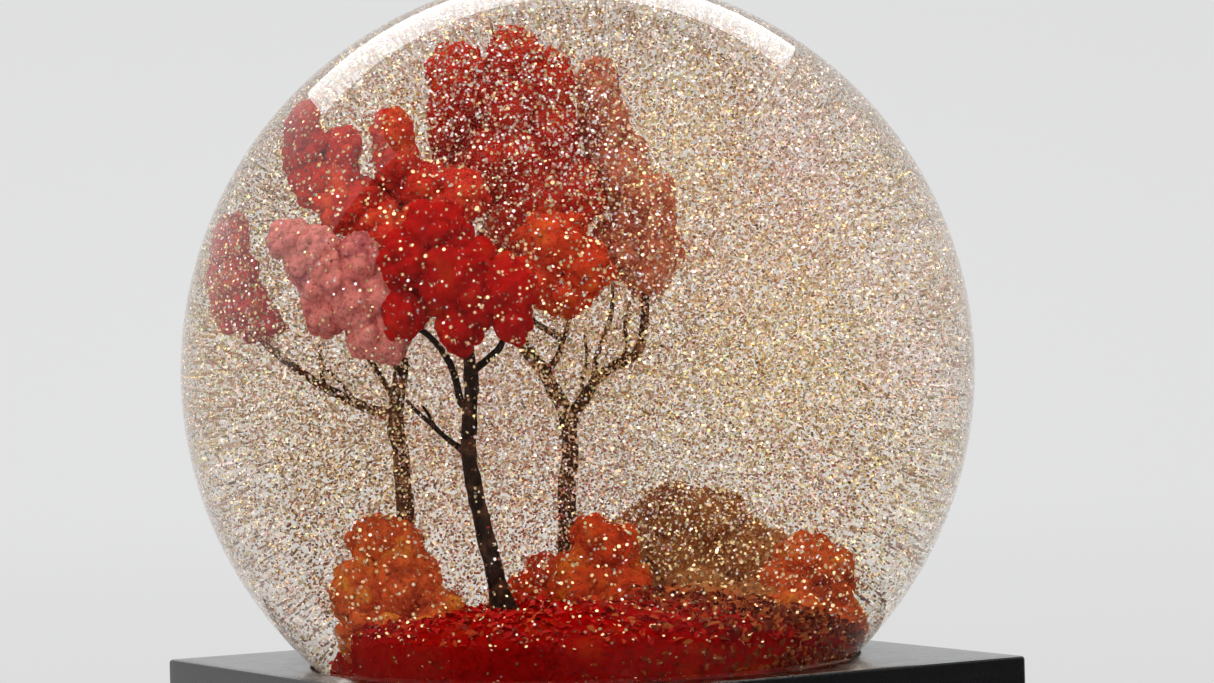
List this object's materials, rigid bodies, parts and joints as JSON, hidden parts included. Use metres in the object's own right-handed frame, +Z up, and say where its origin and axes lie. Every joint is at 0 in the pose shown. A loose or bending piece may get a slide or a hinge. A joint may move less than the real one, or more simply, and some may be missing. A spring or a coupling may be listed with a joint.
{
  "type": "snow globe",
  "caption": "Water globe: liquid-filled glass ball with a figurine of autumn trees and drifting glitter, plugged by a rubber stopper and set in a square black base.",
  "frame": {"origin": "middle of the base's underside, on the felt pad", "axes": "+Z up through the middle of the glass ball; X and Y along the sides of the square base"},
  "size_m": [0.12, 0.12, 0.1356],
  "materials": {
    "black_lacquer": "gloss",
    "felt": "matte",
    "clear_glass": "polished",
    "stopper_rubber": "matte",
    "plug_plastic": "satin",
    "sealant": "satin",
    "clear_adhesive": "gloss",
    "clear_liquid": "polished",
    "leaf_bed": "matte",
    "bark": "matte",
    "flock_deep_red": "matte",
    "flock_red": "matte",
    "flock_salmon": "matte",
    "flock_orange": "matte",
    "flock_olive": "matte"
  },
  "bodies": {
    "globe": {"base_block": "black_lacquer", "felt_pad": "felt", "glass_globe": "clear_glass", "rubber_stopper": "stopper_rubber", "filler_plug": "plug_plastic", "sealant_bead": "sealant", "globe_bond": "clear_adhesive", "ground_mound": "leaf_bed", "front_tree_trunk": "bark", "left_tree_trunk": "bark", "right_tree_trunk": "bark", "front_crown": "flock_deep_red", "front_crown_left": "flock_salmon", "left_crown": "flock_red", "left_crown_outer": "flock_salmon", "right_crown_tall": "flock_red", "right_crown_side": "flock_orange", "right_crown_front": "flock_red", "left_shrub": "flock_salmon", "middle_shrub": "flock_salmon", "right_shrub": "flock_orange", "back_shrub": "flock_olive", "outer_shrub": "flock_orange"},
    "swirl": {"liquid": "clear_liquid"}
  },
  "joints": [
    {"name": "liquid_swirl", "type": "hinge", "parent": "globe", "child": "swirl", "pos_m": [0, 0, 0.0756], "axis": [0, 0, 1], "continuous": true}
  ]
}
